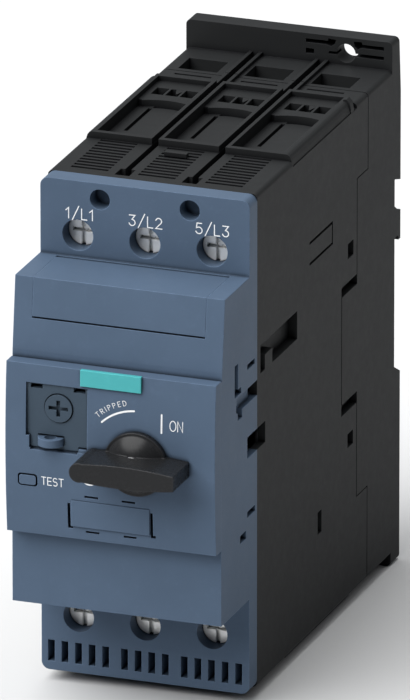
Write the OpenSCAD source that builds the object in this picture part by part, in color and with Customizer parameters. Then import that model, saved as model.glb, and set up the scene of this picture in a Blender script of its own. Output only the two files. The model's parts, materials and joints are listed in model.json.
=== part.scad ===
// Three-pole motor protection breaker for a 35 mm rail: rotary handle, current dial, test button.
// X runs across the poles, Y runs from the rear mounting plane (0) back to front (negative), Z is up.

/* [Body] */
// width across the three poles
body_w = 55; // [45:1:70]
// top of the black body above the rail centre
body_top = 64; // [55:0.5:75]
// bottom of the black body below the rail centre
body_bot = 65.8; // [55:0.1:75]
// front face of the terminal plates, measured from the mounting plane
plate_y = 112; // [100:0.5:130]
// where the black body meets the blue front cover
joint_y = 106.5; // [96:0.5:110]
// wall of the moulded housing sides
wall = 2; // [1.6:0.1:3]
// distance between pole centres
pitch = 17.65; // [14:0.05:20]

/* [Front cover] */
// top of the stepped block
block_top = 44.2; // [38:0.1:50]
// bottom of the stepped block
block_bot = 40.55; // [34:0.05:46]
// front of the lower part of the block
block_y = 132.5; // [124:0.1:140]
// top of the operating cap
cap_top = 23.85; // [20:0.05:30]
// bottom of the operating cap
cap_bot = 20.7; // [16:0.1:26]
// crown of the operating cap
cap_y = 137.2; // [134:0.1:142]

/* [Handle] */
// handle axis, across
knob_x = 7.2; // [0:0.1:12]
// handle axis, height
knob_z = 1.6; // [-4:0.1:6]
// length of the handle grip
knob_l = 27.2; // [22:0.1:32]
// radius of the handle disc
knob_r = 8.25; // [7:0.05:10]
// front of the handle grip
knob_y = 149; // [143:0.5:156]

/* [Rail] */
// opening of the rail recess
rail_open = 35.5; // [35.2:0.1:36]
// depth of the rail recess
rail_deep = 4.4; // [3:0.1:6]
// thickness of the base plate
base_t = 6.6; // [5:0.1:9]

/* [Terminals] */
// height of the line terminal screws
term_top = 49.8; // [45:0.1:54]
// depth of the load terminal screws below the rail centre
term_bot = 50.9; // [45:0.1:54]
// radius of the screwdriver holes
term_r = 4.06; // [3:0.01:4.5]

/* [Hidden] */
$fn = 64;
e = 0.02;
hw = body_w / 2;
poles = [-pitch, 0, pitch];
half_p = pitch / 2;
seam_top = 24.4;
in_x = hw - wall;
in_top = body_top - 5.5;
in_bot = body_bot - 5.5;
cap_r = 249;
knob_run = 3.05;

// ---- small helpers -------------------------------------------------------------------------
module bx(x0, x1, y0, y1, z0, z1) { translate([x0, y0, z0]) cube([x1 - x0, y1 - y0, z1 - z0]); }
module cy(x, z, y0, y1, r) { translate([x, y1, z]) rotate([90, 0, 0]) cylinder(r = r, h = y1 - y0); }
module cz(x, y, z0, z1, r) { translate([x, y, z0]) cylinder(r = r, h = z1 - z0); }
// outline drawn across (Y, Z), given its width along X
module side(x0, x1) { translate([x0, 0, 0]) rotate([90, 0, 90]) linear_extrude(x1 - x0) children(); }
// outline drawn on (X, Z), given its depth along Y
module face(y0, y1) { translate([0, y1, 0]) rotate([90, 0, 0]) linear_extrude(y1 - y0) children(); }
module rr(x0, x1, z0, z1, r) {
  translate([x0 + r, z0]) square([x1 - x0 - 2 * r, z1 - z0]);
  translate([x0, z0 + r]) square([x1 - x0, z1 - z0 - 2 * r]);
  for (x = [x0 + r, x1 - r], z = [z0 + r, z1 - r]) translate([x, z]) circle(r);
}
module both() { children(); mirror([1, 0, 0]) children(); }
module updown() { children(); mirror([0, 0, 1]) children(); }

// ---- the line where the two black mouldings meet on the sides ------------------------------
module rear_part() {
  polygon([[-seam_top, 80], [-seam_top, 43.8], [-32.5, 43.8], [-32.5, 16.0], [-43.8, 16.0],
           [-43.8, -12.6], [-32.5, -12.6], [-32.5, -40.6], [-seam_top, -40.6], [-seam_top, -80],
           [5, -80], [5, 80]]);
}
module front_cut(g, h) {
  polygon([[-seam_top - g, 80], [-seam_top - g, 43.8 + h], [-32.5 - g, 43.8 + h], [-32.5 - g, 18.7],
           [-43.85 - g, 18.7], [-43.85 - g, -15.6], [-32.5 - g, -15.6], [-32.5 - g, -40.6 - h],
           [-seam_top - g, -40.6 - h], [-seam_top - g, -80], [5, -80], [5, 80]]);
}
// groove between two neighbouring poles, on the top and on the bottom
module pole_grooves(y0, y1) {
  for (x = [-half_p, half_p]) {
    bx(x - 0.82, x + 0.82, y0, y1, body_top - 3, body_top + 5);
    bx(x - 0.82, x + 0.82, y0, y1, -body_bot - 5, -body_bot + 3);
  }
}
// low ridges on both sides of those grooves
module pole_ridges(y0, y1) {
  for (x = [-half_p, half_p], s = [-1, 1]) {
    bx(x + s * 1.3 - 0.46, x + s * 1.3 + 0.46, y0, y1, body_top - 1, body_top + 0.9);
    bx(x + s * 1.3 - 0.46, x + s * 1.3 + 0.46, y0, y1, -body_bot - 0.9, -body_bot + 1);
  }
}

// ---- rear moulding with the base plate and the rail recess ---------------------------------
module rear_housing() color([0.2, 0.2, 0.21]) difference() {
  union() {
    face(-base_t, 0) rr(-hw, hw, -68.7, 71.4, 1.3);
    difference() {
      intersection() {
        face(-44, -base_t + 1) rr(-hw, hw, -body_bot, body_top, 1.2);
        side(-hw - 1, hw + 1) rear_part();
      }
      bx(-24.3, 24.3, -60, -base_t - 0.2, -in_bot, in_top);
      pole_grooves(-60, -base_t);
    }
    pole_ridges(-seam_top, -base_t + 1);
    // inner lips that locate the front moulding
    both() bx(24.3, in_x - 0.1, -47, -30, -36, 36);
    both() bx(24.3, in_x - 0.1, -30.1, -10, -50, 50);
    // buffers on the mounting plane
    both() bx(20, 26.5, -1, 0.9, 51.9, 55.9);
  }
  // rail recess and the notch above it
  side(-40, 40) polygon([[1, -18.64], [0, -18.1], [-rail_deep, -15.7], [-rail_deep, 18.7],
                         [-1.9, 18.7], [-1.4, rail_open - 18.1], [1, rail_open - 18.1]]);
  side(-40, 40) polygon([[1, 25.1], [0, 25.1], [-1.2, 25.1], [-rail_deep, 27.2], [-rail_deep, 34.4],
                         [0, 33.1], [1, 32.8]]);
  // top of the base plate leans forward
  side(-40, 40) polygon([[0.02, 56.5], [-1.2, 71.5], [1.5, 71.5], [1.5, 56.5]]);
  // panel screw hole and the slits beside it
  cy(15.2, 67.2, -8, 1, 2.5);
  face(-8, -3.2) polygon([[4.5, 68.95], [9.9, 68.95], [11.2, 68.6], [12.1, 69.2], [12.6, 70.4], [10.5, 70.6],
                          [10.4, 69.95], [4.5, 69.95]]);
  face(-8, -3.2) polygon([[17.2, 70.5], [17.5, 69.2], [18.3, 68.5], [19.2, 69.0], [25.3, 69.0], [25.3, 69.95],
                          [19.5, 69.95], [19.4, 70.6]]);
  bx(4.5, 6.7, -8, -3.2, 66.1, 67.4);
  bx(10.6, 13.4, -8, -3.2, 66.6, 67.3);
  bx(17.2, 25.3, -8, -3.2, 66.5, 67.4);
  // vents behind the chute covers
  for (p = poles) {
    bx(p - 6.1, p + 4.3, -22.9, -14.4, in_top - 1, body_top + 1);
    bx(p - 6.1, p + 4.3, -22.9, -14.4, -body_bot - 1, -in_bot + 1);
  }
  // pocket with side grooves for the rail latch, closed by the spring's seat
  bx(-9, 9, -4.6, 1, -56, -15);
  bx(-10.5, 10.5, -3.4, -1.6, -47.5, -15);
}

// ---- front black moulding ------------------------------------------------------------------
module front_shell() {
  difference() {
    face(-joint_y, -20) rr(-hw, hw, -body_bot, body_top, 1.2);
    pole_grooves(-101, 0);
  }
  pole_ridges(-33, -20);
  // stop bar on the middle pole
  bx(-4.0, 1.9, -87.2, -85.6, body_top - 1, body_top + 1.1);
}
module front_housing() color([0.21, 0.21, 0.22]) difference() {
  union() {
    difference() {
      front_shell();
      // three pole chambers, open to the rear
      for (i = [-1, 0, 1])
        bx(i < 0 ? -in_x : i * pitch - 7.9, i > 0 ? in_x : i * pitch + 7.9, -102.9, 0, -in_bot, in_top);
    }
    // floor of the side hook slots
    both() bx(24.2, in_x + 0.1, -104.4, -76.2, 14.8, 25.2);
  }
  side(-hw - 1, hw + 1) front_cut(0.15, 0);
  // shadow gap along the seam, only as deep as the outer skin
  difference() {
    side(-hw - 1, hw + 1) front_cut(0.4, 0.3);
    bx(-hw + 0.7, hw - 0.7, -60, 10, -body_bot + 0.7, body_top - 0.7);
  }
  // room of the operating mechanism, open to the front
  difference() {
    bx(-in_x, in_x, -joint_y - 1, -92, -38, 42);
    both() bx(24.2, in_x + 0.1, -104.4, -76.2, 14.8, 25.2);
  }
  // windows for the contact carrier and for the trip slide
  bx(-20, 20, -93, -60.5, -6, 6);
  bx(-20, 20, -93, -84.4, -15.2, -10);
  // seats of the terminal screws
  for (p = poles, z = [term_top, -term_bot]) {
    cy(p, z, -joint_y - 1, -104.4, 4.2);
    cy(p, z, -joint_y - 1, -102, 2.8);
  }
  for (p = poles) {
    // slotted grid over the line and load terminals
    for (k = [0 : 10]) {
      bx(p - 5.3, p + 4.5, -102.7 + 2.09 * k, -101.5 + 2.09 * k, in_top - 1, body_top + 0.05);
      bx(p - 5.3, p + 4.5, -102.7 + 2.09 * k, -101.5 + 2.09 * k, -body_bot - 1, -in_bot + 1);
    }
    // opening that takes the chute cover
    bx(p - 7.45, p + 7.45, -78.9, -34.3, in_top - 1, body_top + 1);
    bx(p - 7.45, p + 7.45, -78.9, -34.3, -body_bot - 1, -in_bot + 1);
    // two fine slots behind it
    for (y = [-29.2, -27.1]) {
      bx(p - 5.5, p + 4.3, y - 0.5, y + 0.5, body_top - 4, body_top + 1);
      bx(p - 5.5, p + 4.3, y - 0.5, y + 0.5, -body_bot - 1, -body_bot + 4);
    }
  }
  // pockets at the front end of the grooves
  for (x = [-half_p, half_p]) {
    bx(x - 1.95, x + 1.95, -104.4, -99.6, body_top - 3.6, body_top + 1);
    bx(x - 1.95, x + 1.95, -104.4, -99.6, -body_bot - 1, -body_bot + 3.6);
  }
  both() {
    // rebate along the upper edge beside the outer chute covers
    bx(25.75, hw + 1, -80.4, -33, 62.6, body_top + 1);
    // hook slot for side-mounted accessories
    difference() {
      bx(25, hw + 1, -104.1, -77.1, 16.3, 23.7);
      bx(24, hw + 2, -100.8, -95.4, 16, 20.2);
    }
    // spring tongue
    bx(25, hw + 1, -68, -50.8, 38.05, 38.75);
    bx(25, hw + 1, -68, -50.8, 32.55, 33.25);
    bx(25, hw + 1, -51.5, -50.8, 32.55, 38.75);
    // small hook openings
    bx(25.4, hw + 1, -39.5, -35.4, 24.8, 28.8);
    bx(25.4, hw + 1, -39.5, -35.4, -25.5, -21.8);
    bx(25, hw + 1, -61.7, -58.8, -41, -35.1);
    bx(25, hw + 1, -joint_y - 1, -100.5, -2.9, 2.7);
  }
}

// ---- blue front cover ----------------------------------------------------------------------
module cover_profile(d) {
  polygon([[-joint_y, -block_bot + d], [-joint_y, block_top - d], [-129.8 + d, block_top - d],
           [-131.9 + d, 25.7], [-132.0 + d, cap_top - 0.3], [-block_y + d, cap_top - 0.3],
           [-block_y + d, -block_bot + d]]);
}
module flap_shape(g) {
  // L-shaped plate: lies on the step, then turns down the sloping front
  side(-22.7 - g, 22.7 + g) polygon([[-114 + g, block_top], [-129.8, block_top],
    [-130.972, 34.3 - 2 * g], [-128.6, 34.3 - 2 * g], [-127.65, block_top - 2.1], [-114 + g, block_top - 2.1]]);
}
module front_cover() color([0.33, 0.41, 0.5]) difference() {
  union() {
    face(-plate_y, -joint_y) rr(-hw, hw, -body_bot, body_top, 2.1);
    side(-hw, hw) cover_profile(0);
    // well that guides the test button
    cy(-21.7, -6.4, -131, -124.5, 3.3);
  }
  difference() {
    side(-hw + 2, hw - 2) difference() {
      cover_profile(2);
      // keeps the plate solid beside the screw holes
    }
    cy(-21.7, -6.4, -133, -124.5, 3.3);
  }
  bx(-hw + 2, hw - 2, -joint_y - 3, -joint_y + 1, -block_bot + 2, block_top - 2.2);
  cy(-21.7, -6.4, -block_y - 1, -126.6, 2.35);
  cy(-21.7, -6.4, -block_y - 1, -120, 1.1);
  // opening behind the operating cap
  bx(-17.5, 24, -block_y - 1, -129, -17.5, 20.5);
  // seat of the accessory flap
  flap_shape(0.05);
  // line below the flap
  bx(-22.7, 22.7, -132, -128.8, 33.85, 34.3);
  // the rear edge of the flap stands on an open slot
  bx(-22.75, 22.75, -114.1, -112.9, block_top - 3, block_top + 1);
  for (p = poles, z = [term_top, -term_bot]) cy(p, z, -plate_y - 1, -joint_y + 1, term_r);
  // blind holes beside the line terminals
  for (x = [-11.8, 11.8]) cy(x, 59.75, -plate_y - 1, -plate_y + 4.7, 2.65);
  // vent slots below the load terminals
  for (g = [0 : 2]) for (k = [0 : (g == 1 ? 3 : 4)])
    bx((g == 0 ? -25.8 : g == 1 ? -6.4 : 9.4) + 3.6 * k, (g == 0 ? -24.0 : g == 1 ? -4.6 : 11.2) + 3.6 * k,
       -plate_y - 1, -joint_y - 0.6, -63.5, -57.9);
  both() {
    bx(26.1, hw + 1, -113.6, -108.2, 20.4, 21.8);
    bx(26.1, hw + 1, -122.8, -120.2, 16, 24.4);
    bx(26.1, hw + 1, -120.3, -118, 16, 17.6);
    bx(26.1, hw + 1, -121.7, -joint_y + 1, 11.5, 15.5);
    bx(25, hw + 1, -109.5, -joint_y + 1, 11.5, 15.5);
    bx(25, hw + 1, -120.6, -117.3, 9.4, 12.2);
    bx(25, hw + 1, -113.6, -joint_y + 1, -2.9, 2.7);
    bx(26.1, hw + 1, -113.6, -107.8, -18.5, -16.9);
    bx(26.1, hw + 1, -118.8, -114.4, -23.6, -21.5);
  }
}

module aux_switch_flap() color([0.36, 0.44, 0.54]) difference() {
  flap_shape(0);
  // room for the wire below the front edge
  bx(-22, 22, -128.3, -120, 30, 42.0);
}

// ---- operating cap -------------------------------------------------------------------------
module cap_solid(d) {
  intersection() {
    bx(-hw + d, hw - d, -cap_y - 2, -block_y, -cap_bot + d, cap_top - d);
    translate([0, -cap_y + cap_r, 1.9]) rotate([0, 90, 0]) cylinder(r = cap_r - d, h = 80, center = true, $fn = 720);
  }
}
module window_outline(g) {
  difference() {
    translate([-22.1 - g, 2.3 - g]) square([16 + 2 * g, 16.7 + 2 * g]);
    translate([-23.1, 1.3 - g]) square([1.9 - g, 4.1]);
  }
}
module control_cap() color([0.33, 0.41, 0.5]) union() {
  difference() {
    cap_solid(0);
    difference() {
      translate([0, 0.02, 0]) cap_solid(1.9);
    }
    bx(-hw + 1.9, hw - 1.9, -block_y - 1, -block_y + 1, -cap_bot + 1.9, cap_top - 1.9);
    // window of the current setting
    face(-cap_y - 1, -block_y + 1) window_outline(0.06);
    // handle shaft, and the ring groove around the handle
    cy(knob_x, knob_z, -cap_y - 1, -block_y + 1, knob_run);
    // test button
    face(-cap_y - 1, -block_y + 1) rr(-24.3, -19.1, -8.05, -4.75, 0.9);
    // seat of the writing plate with the two angled keeper slots
    bx(-10.25, 10.35, -cap_y - 1, -136.2, -17.25, -10.35);
    bx(-11.3, -10.6, -cap_y - 1, -130, -17.3, -11.3);
    bx(-11.3, -9.9, -cap_y - 1, -130, -18.0, -17.3);
    bx(10.45, 11.1, -cap_y - 1, -130, -17.3, -11.3);
    bx(10.45, 11.8, -cap_y - 1, -130, -18.0, -17.3);
    // four short marks around the plate
    bx(-6.8, -3.2, -cap_y - 1, -135.8, -9.35, -8.85);
    bx(3.0, 6.5, -cap_y - 1, -135.8, -9.35, -8.85);
    bx(-6.6, -3.1, -cap_y - 1, -135.5, -18.75, -18.25);
    bx(3.3, 6.7, -cap_y - 1, -135.5, -18.75, -18.25);
    // shadow line below the window
    bx(-21.0, -8.6, -cap_y - 1, -135.9, 1.75, 2.4);
    // seat of the badge
    bx(-7.85, 8.15, -cap_y - 1, -136.0, 19.75, cap_top + 1);
  }
  // sealing lug, moulded on a foot that runs behind the scale plate
  difference() {
    union() {
      bx(-19.1, -12.4, -135.4, -133.2, 0.9, 2.2);
      bx(-19.1, -12.4, -134.3, -133.2, 0.9, 5.4);
      bx(-19.1, -12.4, -136.3, -134.2, 3.4, 5.4);
      // corner stop of the scale plate
      bx(-8.3, -5.9, -136.95, -135, 1.5, 3.1);
      translate([-15.75, -136.2, 3.4]) intersection() {
        cylinder(r = 3.35, h = 2);
        bx(-5, 5, -5, 0.1, -1, 4);
      }
    }
    cz(-15.75, -136.9, 2, 7, 1.5);
  }
}

module scale_plate() color([0.26, 0.31, 0.36]) difference() {
  face(-136.2, -134.4) window_outline(-0.02);
  // opening for the sealing lug
  bx(-19.2, -12.3, -137, -134, 3.3, 5.8);
  // opening for the corner stop
  bx(-8.6, -5, -137, -134, 2, 3.4);
  cy(-13.75, 13, -140, -130, 3.85);
  // slots under the upper edge
  bx(-21.1, -18.0, -138, -130, 17.6, 18.8);
  bx(-9.8, -6.7, -138, -130, 17.6, 18.8);
}

module setting_dial() color([0.2, 0.24, 0.28]) difference() {
  union() {
    cy(-13.75, 13, -136.6, -133.9, 3.6);
    cy(-13.75, 13, -134, -118, 1.8);
  }
  bx(-16.3, -11.2, -138, -135.6, 12.5, 13.5);
  bx(-14.25, -13.25, -138, -135.6, 10.9, 15.1);
}
module setting_cam() color([0.75, 0.73, 0.66]) difference() {
  union() {
    cy(-13.75, 13, -126, -122, 3.4);
    cy(-13.2, 13, -126, -122, 3.6);
  }
  cy(-13.75, 13, -127, -121, 1.8);
}

module badge_plate() color([0.24, 0.73, 0.73]) bx(-7.8, 8.1, -137.1, -136.0, 19.8, 24.0);
module label_plate() color([0.33, 0.41, 0.5]) bx(-10.2, 10.3, -137.05, -136.2, -17.2, -10.4);

// ---- test button ---------------------------------------------------------------------------
module test_button() color([0.3, 0.38, 0.46]) union() {
  face(-137.2, -134.2) rr(-23.88, -19.52, -7.63, -5.17, 0.6);
  face(-135.0, -134.0) rr(-25.1, -18.3, -8.9, -3.9, 0.8);
  cy(-21.7, -6.4, -134.1, -121, 1.0);
}
module test_spring() color([0.7, 0.7, 0.72])
  translate([-21.7, -126.7, -6.4]) rotate([90, 0, 0])
    linear_extrude(height = 7.29, twist = -1800, slices = 70, $fn = 6) translate([1.75, 0]) circle(0.32);

// ---- rotary handle -------------------------------------------------------------------------
module grip_outline() {
  r = 97.8;
  intersection() {
    translate([0, 2.9 - r]) circle(r, $fn = 512);
    translate([0, r - 2.9]) circle(r, $fn = 512);
    translate([-12, -5]) square([12 + knob_l / 2, 10]);
  }
  translate([-13.65 + 2.5, 0]) circle(2.5);
}
module rotary_knob() color([0.17, 0.17, 0.18]) difference() {
  union() {
    translate([knob_x, 0, knob_z]) face(-knob_y, -cap_y - 0.15) grip_outline();
    cy(knob_x, knob_z, -138.8, -cap_y - 0.15, knob_r);
    // domed hub between the disc and the grip
    intersection() {
      translate([knob_x, -130.9, knob_z]) sphere(r = 10.88, $fn = 128);
      cy(knob_x, knob_z, -145, -138.7, 7.6);
    }
  }
  cy(knob_x, knob_z, -142, -130, 3);
}
module knob_shaft() color([0.7, 0.7, 0.72]) cy(knob_x, knob_z, -142, -106, 3);
module drive_cam() color([0.85, 0.84, 0.8]) difference() {
  union() {
    cy(knob_x, knob_z, -112, -107, 6.5);
    cy(knob_x - 5, knob_z + 3, -112, -107, 4);
  }
  cy(knob_x, knob_z, -113, -106, 3);
}

// ---- frame of the operating mechanism ------------------------------------------------------
module mechanism_frame() color([0.66, 0.67, 0.69]) difference() {
  union() {
    bx(-9.4, in_x, -124, -122.6, -15, 18);
    bx(-9.4, -8.2, -124, -92, -15, 18);
    bx(24.3, in_x, -124, -93, -15, 11);
    bx(-18, -8.2, -104.2, -102.8, -4, 4);
    cy(-15, 0, -103, -93.5, 1.45);
  }
  cy(knob_x, knob_z, -126, -120, knob_run);
  bx(20, 30, -125, -121, -3.5, 3.3);
  bx(24, 30, -115, -99, -4, 3.5);
}

// ---- moving contacts -----------------------------------------------------------------------
module contact_carrier() color([0.55, 0.2, 0.16]) union() {
  bx(-23.5, 23.5, -76, -66, -5, 5);
  for (p = poles) bx(p - 2, p + 2, -66.1, -56.5, -2, 2);
  cy(knob_x, knob_z, -98, -75.9, 4);
}
module bridge(p) color([0.78, 0.45, 0.3]) difference() {
  union() {
    bx(p - 4, p + 4, -60.5, -59, -15, 15);
    for (z = [-12, 12]) cy(p, z, -59.1, -58.4, 2.2);
  }
  bx(p - 2, p + 2, -62, -58, -2, 2);
}
module contact_bridge_1() bridge(-pitch);
module contact_bridge_2() bridge(0);
module contact_bridge_3() bridge(pitch);

// current path from a terminal tongue to the fixed contact
module rail_path(p, zt) {
  difference() {
    union() {
      bx(p - 4.3, p + 4.3, -90.5, -89, 44, zt);
      bx(p - 4.3, p + 4.3, -90.5, -52, 44, 45.5);
      bx(p - 4.3, p + 4.3, -53.5, -52, 8, 45.5);
      cy(p, 12, -54.3, -53.4, 2.2);
    }
  }
}
module line_rail(p) color([0.8, 0.48, 0.32]) rail_path(p, 57.5);
module load_rail(p) color([0.8, 0.48, 0.32]) mirror([0, 0, 1]) translate([0, 0, 1]) rail_path(p, 58);
module line_rail_1() line_rail(-pitch);
module line_rail_2() line_rail(0);
module line_rail_3() line_rail(pitch);
module load_rail_1() load_rail(-pitch);
module load_rail_2() load_rail(0);
module load_rail_3() load_rail(pitch);

// stack of splitter plates between two fibre cheeks
module chute(p) color([0.5, 0.5, 0.5]) union() {
  for (s = [-1, 1]) bx(p + s * 5.8 - 0.4, p + s * 5.8 + 0.4, -88, -58, 19, 39);
  for (k = [0 : 7]) bx(p - 5.5, p + 5.5, -87, -59, 19.8 + 2.5 * k, 20.8 + 2.5 * k);
}
module arc_chute_1() chute(-pitch);
module arc_chute_2() chute(0);
module arc_chute_3() chute(pitch);

// instantaneous release: winding on a bobbin
module coil(p) color([0.75, 0.4, 0.25]) translate([p, -28, -29]) rotate([90, 0, 0]) rotate_extrude() {
  translate([2.6, 0]) square([1.4, 20]);
  translate([2.6, 0]) square([3.7, 1.2]);
  translate([2.6, 18.8]) square([3.7, 1.2]);
  for (k = [0 : 7]) translate([4.7, 2.4 + 2.15 * k]) circle(1.05, $fn = 32);
}
module magnet_coil_1() coil(-pitch);
module magnet_coil_2() coil(0);
module magnet_coil_3() coil(pitch);

// overload release: bimetal strip with its heater winding
module strip(p) color([0.72, 0.66, 0.52]) union() {
  bx(p - 3, p + 3, -88, -80, -45, -41.5);
  bx(p - 2, p + 2, -84, -83, -42, -10.8);
  for (k = [0 : 5]) bx(p - 3, p + 3, -85, -82, -38 + 3 * k, -36.4 + 3 * k);
}
module bimetal_1() strip(-pitch);
module bimetal_2() strip(0);
module bimetal_3() strip(pitch);

module trip_slide() color([0.8, 0.78, 0.7]) union() {
  bx(-23, 21, -88, -85.2, -14, -11.2);
  for (p = poles) bx(p + 2.2, p + 3.4, -85.3, -82.6, -14, -11.2);
  bx(-20.5, -18.2, -98, -87.9, -13.6, -11.6);
}
module latch_lever() color([0.66, 0.67, 0.69]) difference() {
  union() {
    bx(-16.5, -13.5, -97, -94.5, -14, 10);
    cy(-15, 0, -97, -94.5, 3);
  }
  cy(-15, 0, -98, -93, 1.5);
}

// ---- terminals -----------------------------------------------------------------------------
module tscrew(p, z) color([0.75, 0.76, 0.78]) difference() {
  union() {
    cy(p, z, -107.6, -104.6, 3.95);
    cy(p, z, -104.7, -92.6, 2.4);
  }
  // combined cross and slot recess
  bx(p - 0.58, p + 0.58, -109, -106.3, z - 4, z + 4);
  bx(p - 2.9, p + 2.9, -109, -106.1, z - 0.5, z + 0.5);
  cy(p, z, -109, -105.8, 0.85);
}
module screw_l1() tscrew(-pitch, term_top);
module screw_l2() tscrew(0, term_top);
module screw_l3() tscrew(pitch, term_top);
module screw_t1() tscrew(-pitch, -term_bot);
module screw_t2() tscrew(0, -term_bot);
module screw_t3() tscrew(pitch, -term_bot);

module cage(p, z, za, zb) color([0.7, 0.7, 0.66]) difference() {
  bx(p - 6, p + 6, -99.5, -80, za, zb);
  bx(p - 5, p + 5, -96.5, -82, za - 1, zb + 1);
  cy(p, z, -100, -96, 2.45);
}
module clamp_l1() cage(-pitch, term_top, 46.2, 54.9);
module clamp_l2() cage(0, term_top, 46.2, 54.9);
module clamp_l3() cage(pitch, term_top, 46.2, 54.9);
module clamp_t1() cage(-pitch, -term_bot, -56, -47.2);
module clamp_t2() cage(0, -term_bot, -56, -47.2);
module clamp_t3() cage(pitch, -term_bot, -56, -47.2);

// ---- chute covers on the top and the bottom -------------------------------------------------
module chute_cover(p, flank = true) {
  difference() {
    union() {
      bx(p - 7.95, p + 7.95, -80.3, -33.1, 64, 65.7);
      bx(p - 7.4, p + 7.4, -78.8, -34.4, 60.6, 64.1);
      if (flank && p != 0) {
        // rounded flank and end nose on the outer side
        s = p > 0 ? 1 : -1;
        face(-80.3, -35.2) scale([s, 1]) polygon([[25.4, 65.7], [25.9, 65.65], [26.4, 65.35], [26.8, 64.8],
          [27.05, 64], [27.2, 63.2], [27.25, 62.65], [25.8, 62.65], [25.8, 64.05], [25.4, 64.05]]);
        if (p > 0) face(-37.4, -35.2) polygon([[25.4, 64.2], [25.4, 66.1], [26.2, 66.2], [27.1, 65.3], [27.45, 63.4],
          [27.45, 62.65], [25.8, 62.65], [25.8, 64.1], [25.4, 64.1]]);
      }
    }
    // tray with a ledge, a curved wall and a trench at its foot
    bx(p - 7.0, p + 7.0, -78.9, -34.6, 64.35, 70);
    difference() {
      bx(p - 7.0, p + 7.0, -78.9, -42, 62.6, 70);
      difference() {
        bx(p - 5.9, p + 8, -51, -34, 60, 64.35);
        cz(p + 0.6, -62.6, 59, 70, 14.2);
      }
      bx(p - 8, p - 5.8, -49.6, -34, 60, 64.35);
    }
    intersection() {
      bx(p - 2.9, p + 7.0, -60, -42, 61.6, 70);
      difference() {
        cz(p + 0.6, -62.6, 61.5, 70, 14.2);
        cz(p + 0.6, -63.9, 61, 71, 14.2);
      }
    }
    // three small openings in the ledge, and the slit in the tray floor
    for (k = [-3.85, 0, 3.85]) bx(p + k - 1.63, p + k + 1.63, -44.7, -39.6, k == 0 ? 61.6 : 61.4, 70);
    bx(p - 3.9, p - 2.8, -68.7, -50.6, 61.6, 64);
  }
  // small hook in the middle opening
  translate([p, 0, 61.5]) linear_extrude(2.8)
    polygon([[-0.4, -39.5], [1.7, -39.5], [1.7, -40.1], [0.9, -42.6], [0.5, -42.6]]);
}
module line_cover(p) color([0.21, 0.21, 0.22]) translate([0, 0, body_top - 64]) chute_cover(p);
module load_cover(p) color([0.21, 0.21, 0.22])
  mirror([0, 0, 1]) translate([0, 0, body_bot - 64]) chute_cover(p, false);
module line_cover_1() line_cover(-pitch);
module line_cover_2() line_cover(0);
module line_cover_3() line_cover(pitch);
module load_cover_1() load_cover(-pitch);
module load_cover_2() load_cover(0);
module load_cover_3() load_cover(pitch);

// ---- rail latch ----------------------------------------------------------------------------
module rail_latch() color([0.2, 0.2, 0.21]) union() {
  bx(-8.9, 8.9, -4.4, -0.8, -44, -18.6);
  side(-8.9, 8.9) polygon([[-3.4, -18.7], [-1.0, -18.7], [-1.0, -17.6], [-2.2, -16.4], [-3.4, -16.4]]);
  bx(-10.4, 10.4, -3.3, -1.7, -44, -22);
}
module rail_spring() color([0.7, 0.7, 0.72]) translate([0, -2.5, -55.9])
  linear_extrude(height = 11.8, twist = -2160, slices = 84, $fn = 6) translate([1.5, 0]) circle(0.34);

rear_housing();
front_housing();
front_cover();
control_cap();
aux_switch_flap();
scale_plate();
badge_plate();
label_plate();
test_button();
test_spring();
rotary_knob();
knob_shaft();
drive_cam();
mechanism_frame();
setting_dial();
setting_cam();
line_cover_1();
line_cover_2();
line_cover_3();
load_cover_1();
load_cover_2();
load_cover_3();
screw_l1();
screw_l2();
screw_l3();
screw_t1();
screw_t2();
screw_t3();
clamp_l1();
clamp_l2();
clamp_l3();
clamp_t1();
clamp_t2();
clamp_t3();
line_rail_1();
line_rail_2();
line_rail_3();
load_rail_1();
load_rail_2();
load_rail_3();
contact_carrier();
contact_bridge_1();
contact_bridge_2();
contact_bridge_3();
arc_chute_1();
arc_chute_2();
arc_chute_3();
magnet_coil_1();
magnet_coil_2();
magnet_coil_3();
bimetal_1();
bimetal_2();
bimetal_3();
trip_slide();
latch_lever();
rail_latch();
rail_spring();
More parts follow.
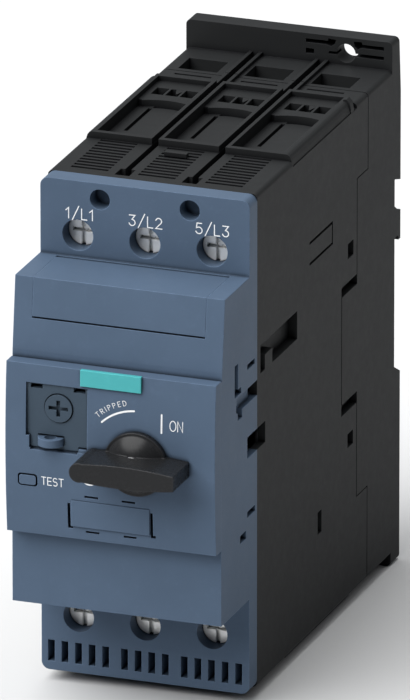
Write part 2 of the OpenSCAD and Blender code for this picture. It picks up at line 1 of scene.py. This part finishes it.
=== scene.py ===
import json
import math
import bmesh
import bpy
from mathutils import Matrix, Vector


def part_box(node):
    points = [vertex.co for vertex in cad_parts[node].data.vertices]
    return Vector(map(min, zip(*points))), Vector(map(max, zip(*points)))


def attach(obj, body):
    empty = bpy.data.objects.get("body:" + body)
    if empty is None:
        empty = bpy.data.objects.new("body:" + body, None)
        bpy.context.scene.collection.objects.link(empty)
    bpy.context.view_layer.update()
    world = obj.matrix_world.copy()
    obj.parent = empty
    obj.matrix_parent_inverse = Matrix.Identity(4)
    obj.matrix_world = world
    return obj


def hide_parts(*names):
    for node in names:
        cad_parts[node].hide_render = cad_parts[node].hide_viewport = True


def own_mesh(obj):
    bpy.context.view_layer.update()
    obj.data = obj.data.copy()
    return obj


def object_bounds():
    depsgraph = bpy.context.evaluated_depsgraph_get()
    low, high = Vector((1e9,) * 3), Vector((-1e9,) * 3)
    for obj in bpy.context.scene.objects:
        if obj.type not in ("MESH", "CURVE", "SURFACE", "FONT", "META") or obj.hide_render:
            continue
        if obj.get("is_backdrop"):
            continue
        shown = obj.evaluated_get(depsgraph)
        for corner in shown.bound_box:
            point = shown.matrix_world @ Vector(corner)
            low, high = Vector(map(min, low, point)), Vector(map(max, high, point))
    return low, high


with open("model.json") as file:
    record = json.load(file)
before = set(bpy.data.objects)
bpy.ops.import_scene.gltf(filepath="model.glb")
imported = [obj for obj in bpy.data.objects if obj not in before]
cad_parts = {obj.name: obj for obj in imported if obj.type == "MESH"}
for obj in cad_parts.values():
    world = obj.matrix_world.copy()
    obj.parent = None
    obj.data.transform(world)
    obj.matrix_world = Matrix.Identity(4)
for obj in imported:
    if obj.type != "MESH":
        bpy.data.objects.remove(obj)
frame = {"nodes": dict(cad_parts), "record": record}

MM = 0.001                      # CAD lengths below are in mm
nodes = frame["nodes"]
lo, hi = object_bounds()
CAD_BOX = [[float(v) for v in lo], [float(v) for v in hi]]


# ---------------------------------------------------------------- materials
def shader(name):
    m = bpy.data.materials.new(name)
    m.use_nodes = True
    nt = m.node_tree
    nt.nodes.clear()
    out = nt.nodes.new("ShaderNodeOutputMaterial")
    bsdf = nt.nodes.new("ShaderNodeBsdfPrincipled")
    nt.links.new(bsdf.outputs["BSDF"], out.inputs["Surface"])
    return m, nt, bsdf


def noise(nt, vec, scale, detail=2.0, rough=0.5):
    n = nt.nodes.new("ShaderNodeTexNoise")
    n.inputs["Scale"].default_value = scale
    n.inputs["Detail"].default_value = detail
    n.inputs["Roughness"].default_value = rough
    nt.links.new(vec, n.inputs["Vector"])
    return n.outputs["Fac"]


def maprange(nt, val, a, b, c, d):
    n = nt.nodes.new("ShaderNodeMapRange")
    n.inputs["From Min"].default_value = a
    n.inputs["From Max"].default_value = b
    n.inputs["To Min"].default_value = c
    n.inputs["To Max"].default_value = d
    nt.links.new(val, n.inputs["Value"])
    return n.outputs["Result"]


def mixcol(nt, fac, a, b):
    n = nt.nodes.new("ShaderNodeMix")
    n.data_type = "RGBA"
    if isinstance(fac, float):
        n.inputs[0].default_value = fac
    else:
        nt.links.new(fac, n.inputs[0])
    for sock, val in ((n.inputs[6], a), (n.inputs[7], b)):
        if isinstance(val, tuple):
            sock.default_value = (*val, 1.0)
        else:
            nt.links.new(val, sock)
    return n.outputs[2]


def bump(nt, height, strength, distance, normal=None):
    n = nt.nodes.new("ShaderNodeBump")
    n.inputs["Strength"].default_value = strength
    n.inputs["Distance"].default_value = distance
    nt.links.new(height, n.inputs["Height"])
    if normal is not None:
        nt.links.new(normal, n.inputs["Normal"])
    return n.outputs["Normal"]


def soft_edges(nt, radius):
    n = nt.nodes.new("ShaderNodeBevel")
    n.samples = 6
    n.inputs["Radius"].default_value = radius
    return n.outputs["Normal"]


def painted_cavity_shade(nt, distance, floor):
    """Painted shade: 1 on open faces, falling to floor inside slots, holes and corners."""
    n = nt.nodes.new("ShaderNodeAmbientOcclusion")
    n.samples = 8
    n.inputs["Distance"].default_value = distance
    return maprange(nt, n.outputs["AO"], 0.30, 0.90, floor, 1.0)


def edge_mask(nt, rounded):
    """0 on flat faces, rising to 1 where the rounded normal leans away, which is only along edges."""
    g = nt.nodes.new("ShaderNodeNewGeometry")
    d = nt.nodes.new("ShaderNodeVectorMath")
    d.operation = "DOT_PRODUCT"
    nt.links.new(g.outputs["Normal"], d.inputs[0])
    nt.links.new(rounded, d.inputs[1])
    return maprange(nt, d.outputs["Value"], 0.995, 0.80, 0.0, 1.0)


# scales of the noise, per metre
GRAIN, CLOUD, DUST, BLOTS, INK, FLOOR_CLOUD = 2600.0, 38.0, 420.0, 150.0, 1500.0, 3.0
# painted shade: the colours that slots, holes and corners are darkened towards
PAINTED_SHADE_BLACK = (0.003, 0.003, 0.004)
METAL_PAINTED_SHADE = (0.02, 0.02, 0.022)


def plastic(name, col, edge_col, rough=0.46, grain_h=0.10, var=0.05, radius=0.35, spec=0.5,
            coat=0.0, speck=0.08, deep=1.2, shade=0.3):
    """Moulded plastic: fine grain, faint clouds, paler edges that are part wear and part painted
    highlight, painted shade in slots. radius and deep are in mm.
    """
    m, nt, b = shader(name)
    tc = nt.nodes.new("ShaderNodeTexCoord")
    vec = tc.outputs["Object"]
    fine = noise(nt, vec, GRAIN, 3.0, 0.6)
    cloud = noise(nt, vec, CLOUD, 4.0, 0.6)
    dust = noise(nt, vec, DUST, 5.0, 0.7)
    lo_c = tuple(c * (1 - var) for c in col)
    hi_c = tuple(min(1.0, c * (1 + var)) for c in col)
    base = mixcol(nt, maprange(nt, cloud, 0.35, 0.65, 0.0, 1.0), lo_c, hi_c)
    base = mixcol(nt, maprange(nt, dust, 0.55, 0.80, 0.0, speck), base, edge_col)
    rounded = soft_edges(nt, radius * MM)
    em = edge_mask(nt, rounded)
    # paler edges: part wear, part painted highlight along every edge
    edge_wear_and_highlight = nt.nodes.new("ShaderNodeMath")
    edge_wear_and_highlight.operation = "MULTIPLY"
    nt.links.new(em, edge_wear_and_highlight.inputs[0])
    nt.links.new(maprange(nt, dust, 0.35, 0.65, 0.25, 0.75), edge_wear_and_highlight.inputs[1])
    base = mixcol(nt, edge_wear_and_highlight.outputs[0], base, edge_col)
    # painted shade: base colour darkened inside slots, holes and corners by ambient occlusion
    base = mixcol(nt, painted_cavity_shade(nt, deep * MM, shade), PAINTED_SHADE_BLACK, base)
    nt.links.new(base, b.inputs["Base Color"])
    r = maprange(nt, dust, 0.3, 0.7, rough - 0.03, rough + 0.04)
    nt.links.new(r, b.inputs["Roughness"])
    n1 = bump(nt, fine, grain_h, 0.00008, rounded)
    nt.links.new(n1, b.inputs["Normal"])
    b.inputs["Specular IOR Level"].default_value = spec
    if coat:
        b.inputs["Coat Weight"].default_value = coat
        b.inputs["Coat Roughness"].default_value = 0.25
    return m


def metal(name, col, dark, rough, scratch=900.0, metallic=1.0):
    """Plated or rolled metal with faint lines, blots and painted shade in recesses."""
    m, nt, b = shader(name)
    tc = nt.nodes.new("ShaderNodeTexCoord")
    vec = tc.outputs["Object"]
    mp = nt.nodes.new("ShaderNodeMapping")
    mp.inputs["Scale"].default_value = (1.0, 0.12, 1.0)
    nt.links.new(vec, mp.inputs["Vector"])
    lines = noise(nt, mp.outputs["Vector"], scratch, 2.0, 0.5)
    blot = noise(nt, vec, BLOTS, 2.0, 0.5)
    base = mixcol(nt, maprange(nt, blot, 0.40, 0.75, 0.0, 0.8), col, dark)
    # painted shade: base colour darkened inside recesses by ambient occlusion
    base = mixcol(nt, painted_cavity_shade(nt, 0.6 * MM, 0.12), METAL_PAINTED_SHADE, base)
    nt.links.new(base, b.inputs["Base Color"])
    b.inputs["Metallic"].default_value = metallic
    nt.links.new(maprange(nt, lines, 0.3, 0.7, rough - 0.04, rough + 0.06), b.inputs["Roughness"])
    rounded = soft_edges(nt, 0.10 * MM)
    nt.links.new(bump(nt, lines, 0.04, 0.000005, rounded), b.inputs["Normal"])
    return m


M = {
    "blue_plastic": plastic("blue_plastic_mat", (0.0675, 0.0995, 0.1495), (0.17, 0.25, 0.38),
                            rough=0.50, spec=0.085, radius=0.30, deep=1.5, shade=0.05),
    "black_plastic": plastic("black_plastic_mat", (0.0156, 0.0164, 0.0170), (0.045, 0.047, 0.05),
                             rough=0.56, var=0.03, spec=0.075, radius=0.14, speck=0.04,
                             deep=2.6, shade=0.10),
    "slate_plastic": plastic("slate_plastic_mat", (0.044, 0.064, 0.088), (0.09, 0.12, 0.16),
                             rough=0.46, spec=0.1, radius=0.15, deep=0.9, shade=0.2),
    "handle_plastic": plastic("handle_plastic_mat", (0.0125, 0.0129, 0.0138), (0.05, 0.05, 0.055),
                              rough=0.26, radius=0.45, spec=0.18, speck=0.04),
    "teal_print": plastic("teal_badge_mat", (0.055, 0.34, 0.355), (0.14, 0.66, 0.66),
                          rough=0.36, grain_h=0.04, radius=0.25, spec=0.2, var=0.02, coat=0.1,
                          shade=0.6),
    "white_plastic": plastic("white_plastic_mat", (0.70, 0.68, 0.60), (0.8, 0.8, 0.75), rough=0.45),
    "screw_steel": metal("screw_steel_mat", (0.95, 0.95, 0.94), (0.90, 0.90, 0.89),
                         rough=0.34, metallic=0.5, scratch=500.0),
    "clamp_steel": metal("clamp_steel_mat", (0.62, 0.61, 0.56), (0.42, 0.41, 0.37), rough=0.34),
    "plate_steel": metal("plate_steel_mat", (0.55, 0.55, 0.56), (0.36, 0.36, 0.37), rough=0.36),
    "copper": metal("copper_mat", (0.80, 0.42, 0.27), (0.55, 0.26, 0.16), rough=0.30),
    "bimetal": metal("bimetal_mat", (0.60, 0.54, 0.42), (0.42, 0.37, 0.28), rough=0.33),
}
slot_of = {s["node"]: s["material_slot"] for s in frame["record"]["subparts"]}
for n, o in nodes.items():
    m = M[slot_of[n]]
    if not o.material_slots:
        o.data.materials.append(m)
    for s in o.material_slots:
        s.material = m


def new_piece(name, verts, faces, mat):
    """A mesh object with outward normals that rides on the housing."""
    me = bpy.data.meshes.new(name)
    me.from_pydata(verts, [], faces)
    me.validate()
    me.materials.append(mat)
    bm = bmesh.new()
    bm.from_mesh(me)
    bmesh.ops.recalc_face_normals(bm, faces=bm.faces)
    bm.to_mesh(me)
    bm.free()
    o = bpy.data.objects.new(name, me)
    bpy.context.scene.collection.objects.link(o)
    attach(o, "housing")
    return o


# ---------------------------------------------------------------- coil springs
CLOSED = 0.8                    # turns that lie flat at each end
STEPS, SIDES = 24, 10           # sections to a turn, sides to a section


def coil(name, node, seat, along, length, turns, radius, wire):
    """A round-wire spring in place of its CAD node."""
    seat, along, side = Vector(seat), Vector(along), Vector((1, 0, 0))
    third = along.cross(side)
    flat = 2.1 * wire           # rise of a closed turn
    pitch = (length - 2 * wire - 2 * CLOSED * flat) / (turns - 2 * CLOSED)
    steps, sides = turns * STEPS, SIDES

    def centre(u):
        rise = min(u, CLOSED) * flat + max(0.0, min(u, turns - CLOSED) - CLOSED) * pitch
        rise += max(0.0, u - (turns - CLOSED)) * flat
        a = 2 * math.pi * u
        return seat + along * (wire + rise) + (side * math.cos(a) + third * math.sin(a)) * radius

    verts, faces = [], []
    for i in range(steps + 1):
        u = turns * i / steps
        c = centre(u)
        t = (centre(min(turns, u + 0.01)) - centre(max(0.0, u - 0.01))).normalized()
        out = side * math.cos(2 * math.pi * u) + third * math.sin(2 * math.pi * u)
        out = (out - t * out.dot(t)).normalized()
        up = t.cross(out)
        for k in range(sides):
            a = 2 * math.pi * k / sides
            verts.append((c + (out * math.cos(a) + up * math.sin(a)) * wire) * MM)
    for i in range(steps):
        for k in range(sides):
            j = (k + 1) % sides
            faces.append([i * sides + k, i * sides + j, (i + 1) * sides + j, (i + 1) * sides + k])
    faces.append(list(range(sides)))
    faces.append([steps * sides + k for k in reversed(range(sides))])
    o = new_piece(name, verts, faces, M[slot_of[node]])
    for f in o.data.polygons:
        f.use_smooth = len(f.vertices) == 4
    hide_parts(node)
    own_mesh(o)


# travel is the joint's range and a little clearance
coil("test_spring_coil", "test_spring", (-21.7, -126.7, -6.4), (0, -1, 0),
     length=7.29, turns=5, radius=1.75, wire=0.32)
coil("rail_spring_coil", "rail_spring", (0, -2.5, -55.9), (0, 0, 1),
     length=11.8, turns=6, radius=1.5, wire=0.34)


# ---------------------------------------------------------------- printed marks
def print_material(name, col, fade):
    m, nt, b = shader(name)
    tc = nt.nodes.new("ShaderNodeTexCoord")
    a = noise(nt, tc.outputs["Object"], INK, 4.0, 0.7)
    nt.links.new(mixcol(nt, maprange(nt, a, 0.45, 0.75, 0.0, 0.35), col, fade), b.inputs["Base Color"])
    nt.links.new(maprange(nt, a, 0.3, 0.7, 0.42, 0.6), b.inputs["Roughness"])
    nt.links.new(bump(nt, a, 0.05, 0.00005), b.inputs["Normal"])
    return m


WHITE = print_material("white_print_mat", (0.76, 0.77, 0.78), (0.58, 0.61, 0.65))


def arc(cx, cy, r, a0, a1, n=10, ry=None):
    """Points on an arc from a0 to a1 degrees, or on an ellipse of height ry."""
    ry = r if ry is None else ry
    return [(cx + r * math.cos(math.radians(a0 + (a1 - a0) * i / n)),
             cy + ry * math.sin(math.radians(a0 + (a1 - a0) * i / n))) for i in range(n + 1)]


# single-line signs of unit height: their width, and their strokes
GLYPHS = {
    "1": (0.34, [[(0.0, 0.76), (0.26, 1.0), (0.26, 0.0)]]),
    "2": (0.60, [arc(0.29, 0.71, 0.28, 165, -35, 10) + [(0.0, 0.0), (0.60, 0.0)]]),
    "3": (0.60, [[(0.02, 1.0), (0.56, 1.0), (0.27, 0.60)] + arc(0.28, 0.30, 0.29, 88, -165, 12)]),
    "4": (0.62, [[(0.44, 0.0), (0.44, 1.0), (0.0, 0.30), (0.62, 0.30)]]),
    "5": (0.60, [[(0.54, 1.0), (0.10, 1.0), (0.05, 0.55)] + arc(0.28, 0.32, 0.31, 128, -160, 12)]),
    "6": (0.60, [[(0.46, 1.0)] + arc(0.55, 0.42, 0.54, 150, 180, 3)
                 + arc(0.30, 0.31, 0.30, 180, 520, 16)]),
    "/": (0.62, [[(0.0, -0.12), (0.62, 1.22)]]),
    "L": (0.50, [[(0.0, 1.0), (0.0, 0.0), (0.50, 0.0)]]),
    "T": (0.60, [[(0.0, 1.0), (0.60, 1.0)], [(0.30, 1.0), (0.30, 0.0)]]),
    "E": (0.50, [[(0.50, 1.0), (0.0, 1.0), (0.0, 0.0), (0.50, 0.0)], [(0.0, 0.52), (0.44, 0.52)]]),
    "S": (0.56, [arc(0.28, 0.745, 0.26, 40, 250, 10) + arc(0.28, 0.255, 0.27, 75, -140, 10)]),
    "O": (0.78, [arc(0.39, 0.5, 0.38, 90, 450, 24, 0.5)]),
    "N": (0.62, [[(0.0, 0.0), (0.0, 1.0), (0.62, 0.0), (0.62, 1.0)]]),
    "R": (0.56, [[(0.0, 0.0), (0.0, 1.0), (0.28, 1.0)]
                 + arc(0.28, 0.76, 0.24, 90, -90, 8) + [(0.0, 0.52)],
                 [(0.28, 0.52), (0.56, 0.0)]]),
    "I": (0.02, [[(0.0, 0.0), (0.0, 1.0)]]),
    "P": (0.54, [[(0.0, 0.0), (0.0, 1.0), (0.28, 1.0)]
                 + arc(0.28, 0.75, 0.25, 90, -90, 8) + [(0.0, 0.50)]]),
    "D": (0.62, [[(0.0, 0.0), (0.0, 1.0), (0.20, 1.0)]
                 + arc(0.20, 0.5, 0.42, 90, -90, 12, 0.5) + [(0.0, 0.0)]]),
}


def ribbon(points, width):
    """Outline of a stroke with round ends and mitred corners."""
    pts = [Vector((p[0], p[1])) for p in points]
    clean = [pts[0]]
    for p in pts[1:]:
        if (p - clean[-1]).length > 1e-6:
            clean.append(p)
    pts, w = clean, width / 2
    left, right = [], []
    for i, p in enumerate(pts):
        a = (p - pts[i - 1]).normalized() if i else None
        b = (pts[i + 1] - p).normalized() if i + 1 < len(pts) else None
        t = (a or b) if not (a and b) else (a + b)
        t = t.normalized() if t.length > 1e-4 else a
        n = Vector((-t.y, t.x))
        k = 1.0
        if a and b:
            k = 1.0 / max(0.45, n.dot(Vector((-a.y, a.x))))
        left.append(p + n * w * k)
        right.append(p - n * w * k)
    d0 = (pts[1] - pts[0]).normalized()
    d1 = (pts[-1] - pts[-2]).normalized()

    def cap(c, d):
        base = math.atan2(d.y, d.x)
        return [c + Vector((math.cos(base + math.radians(q)), math.sin(base + math.radians(q)))) * w
                for q in (-60, -30, 0, 30, 60)]
    return left, right, cap(pts[-1], d1), cap(pts[0], -d0)


RISE, ROOT = 0.035, 0.25        # the print stands out by RISE and reaches ROOT into the surface
LAYER = 0.004                   # each stroke lies a little over the last, so that none coincide


def strokes(name, lines, width, surface):
    """One raised print from stroke lines in mm on the front; surface(z) gives the front's Y in mm."""
    verts, faces = [], []
    for k, line in enumerate(lines):
        left, right, c1, c0 = ribbon(line, width)
        top = RISE + LAYER * k
        n = len(left)
        ring = left + list(reversed(c1)) + list(reversed(right)) + list(reversed(c0))
        base = len(verts)
        for h in (top, -ROOT):
            for p in ring:
                verts.append((p.x * MM, (surface(p.y) - h) * MM, p.y * MM))
        m = len(ring)
        li = list(range(n))
        c1i = list(range(n, n + len(c1)))
        ri = list(range(n + len(c1), n + len(c1) + n))
        c0i = list(range(n + len(c1) + n, m))
        for i in range(n - 1):
            faces.append([base + li[i], base + ri[n - 1 - i], base + ri[n - 2 - i], base + li[i + 1]])
        faces.append([base + li[-1]] + [base + ri[0]] + [base + q for q in reversed(c1i)])
        faces.append([base + ri[-1]] + [base + li[0]] + [base + q for q in reversed(c0i)])
        for i in range(m):
            j = (i + 1) % m
            faces.append([base + i, base + j, base + m + j, base + m + i])
    new_piece(name, verts, faces, WHITE)


def text_lines(text, x, z, height, gap, width_scale=1.0):
    """Stroke lines of a text centred on x, with its foot at z."""
    total = sum(GLYPHS[c][0] * width_scale * height for c in text) + gap * (len(text) - 1)
    cx = x - total / 2
    lines = []
    for c in text:
        w, parts = GLYPHS[c]
        for part in parts:
            lines.append([(cx + u * width_scale * height, z + v * height) for u, v in part])
        cx += w * width_scale * height + gap
    return lines


# The cap's front is a cylinder of radius CAP_R with its crown at height CAP_MID.
# The badge stands 0.1 mm behind the crown.
badge_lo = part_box("badge_plate")[0]
CAP_Y, CAP_R, CAP_MID = badge_lo.y / MM - 0.1, 249.0, 1.9
PLATE_Y = -112.0                # front of the plate around the terminal screws


def on_cap(z):
    return CAP_Y + CAP_R - math.sqrt(CAP_R ** 2 - (z - CAP_MID) ** 2)


def on_plate(z):
    return PLATE_Y


for nm, tx, px, pz in (("1L1", "1/L1", -17.15, 54.0), ("3L2", "3/L2", 0.2, 54.0),
                       ("5L3", "5/L3", 17.75, 54.0), ("2T1", "2/T1", -17.3, -45.9),
                       ("4T2", "4/T2", 0.15, -45.9), ("6T3", "6/T3", 17.75, -45.9)):
    high = 2.75 if pz > 0 else 2.2
    strokes("print_terminal_" + nm, text_lines(tx, px, pz, high, 0.75), 0.26, on_plate)
strokes("print_on", text_lines("ON", 17.35, 11.0, 2.6, 0.45, width_scale=0.80), 0.21, on_cap)
strokes("print_on_bar", [[(13.5, 10.15), (13.5, 14.85)]], 0.42, on_cap)
strokes("print_test", text_lines("TEST", -15.15, -7.2, 2.0, 0.45, width_scale=0.98), 0.20, on_cap)
strokes("print_off_ring", [arc(-5.4, -3.9, 1.85, 0, 358, 40)], 0.5, on_cap)
KNOB_X, KNOB_Z = 7.2, 1.6       # axis of the handle
strokes("print_tripped_arc", [arc(KNOB_X, KNOB_Z, 13.35, 134.5, 94, 24)], 0.48, on_cap)


def on_arc(text, radius, a0, a1, height):
    """Stroke lines of a text spread from a0 to a1 degrees round the axis of the handle."""
    total = sum(GLYPHS[c][0] for c in text) * height
    span = math.radians(a0 - a1) * radius
    gap = (span - total) / (len(text) - 1)
    s, lines = 0.0, []
    for c in text:
        w, parts = GLYPHS[c]
        for part in parts:
            line = []
            for u, v in part:
                a = math.radians(a0) - (s + u * height) / radius
                rr = radius + v * height
                line.append((KNOB_X + rr * math.cos(a), KNOB_Z + rr * math.sin(a)))
            lines.append(line)
        s += w * height + gap
    return lines


strokes("print_tripped", on_arc("TRIPPED", 14.8, 134.0, 101.5, 1.25), 0.13, on_cap)


# ---------------------------------------------------------------- floor, light and camera
floor_z = CAD_BOX[0][2] - 0.0001
bpy.ops.mesh.primitive_grid_add(x_subdivisions=8, y_subdivisions=8, size=16.0,
                                location=(0, 0, floor_z))
floor = bpy.context.object
floor.name = "studio_floor"
fm, fnt, fb = shader("studio_floor_mat")
ftc = fnt.nodes.new("ShaderNodeTexCoord")
fn = noise(fnt, ftc.outputs["Object"], FLOOR_CLOUD, 3.0, 0.5)
fnt.links.new(mixcol(fnt, fn, (0.54, 0.54, 0.54), (0.57, 0.57, 0.57)), fb.inputs["Base Color"])
fb.inputs["Roughness"].default_value = 0.9
fb.inputs["Specular IOR Level"].default_value = 0.1
floor.data.materials.append(fm)
floor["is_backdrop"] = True

scene = bpy.context.scene
world = bpy.data.worlds.new("studio_world")
scene.world = world
world.use_nodes = True
bg = world.node_tree.nodes["Background"]
bg.inputs["Color"].default_value = (0.95, 0.975, 1.0, 1.0)
wt = world.node_tree
wc = wt.nodes.new("ShaderNodeTexCoord")
wd = wt.nodes.new("ShaderNodeVectorMath")
wd.operation = "DOT_PRODUCT"
wd.inputs[1].default_value = Vector((-0.30, 0.35, 0.90)).normalized()
wt.links.new(wc.outputs["Generated"], wd.inputs[0])
glow = maprange(wt, wd.outputs["Value"], 0.0, 1.0, 0.05, 0.96)
# what the camera sees behind the object stays pale; only the light on the object is shaped
path = wt.nodes.new("ShaderNodeLightPath")
pale = wt.nodes.new("ShaderNodeMix")
pale.data_type = "FLOAT"
wt.links.new(path.outputs["Is Camera Ray"], pale.inputs[0])
wt.links.new(glow, pale.inputs[2])
pale.inputs[3].default_value = 1.0
wt.links.new(pale.outputs[0], bg.inputs["Strength"])
scene.view_settings.view_transform = "Standard"


def towards(azimuth, elevation):
    """Unit vector from the object towards a viewpoint; azimuth 0 is the front, 90 is +X."""
    a, e = math.radians(azimuth), math.radians(elevation)
    return Vector((math.sin(a) * math.cos(e), -math.cos(a) * math.cos(e), math.sin(e)))


def sun(name, azimuth, elevation, strength, angle):
    d = bpy.data.lights.new(name, "SUN")
    d.energy = strength
    d.angle = math.radians(angle)
    o = bpy.data.objects.new(name, d)
    back = towards(azimuth, elevation)
    o.rotation_mode = "QUATERNION"
    o.rotation_quaternion = back.to_track_quat("Z", "Y")
    o.location = back * 1.5
    scene.collection.objects.link(o)


sun("key_light", -38, 51, 4.45, 60)
sun("top_light", 170, 74, 0.7, 40)

cam_data = bpy.data.cameras.new("camera")
cam_data.type = "PERSP"
cam_data.lens = 1000.0
cam_data.sensor_width = 36.0
cam_data.clip_start, cam_data.clip_end = 0.1, 50.0
cam = bpy.data.objects.new("camera", cam_data)
CAM_AZ, CAM_EL, CAM_DISTANCE = 19.961, 19.755, 4.8501
back = towards(CAM_AZ, CAM_EL)
right = Vector((math.cos(math.radians(CAM_AZ)), math.sin(math.radians(CAM_AZ)), 0.0))
target = Vector((0, -0.070, 0.007614)) + right * 0.000515
cam.location = target + back * CAM_DISTANCE
cam.rotation_mode = "QUATERNION"
cam.rotation_quaternion = back.to_track_quat("Z", "Y")
scene.collection.objects.link(cam)
scene.camera = cam

lo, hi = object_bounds()
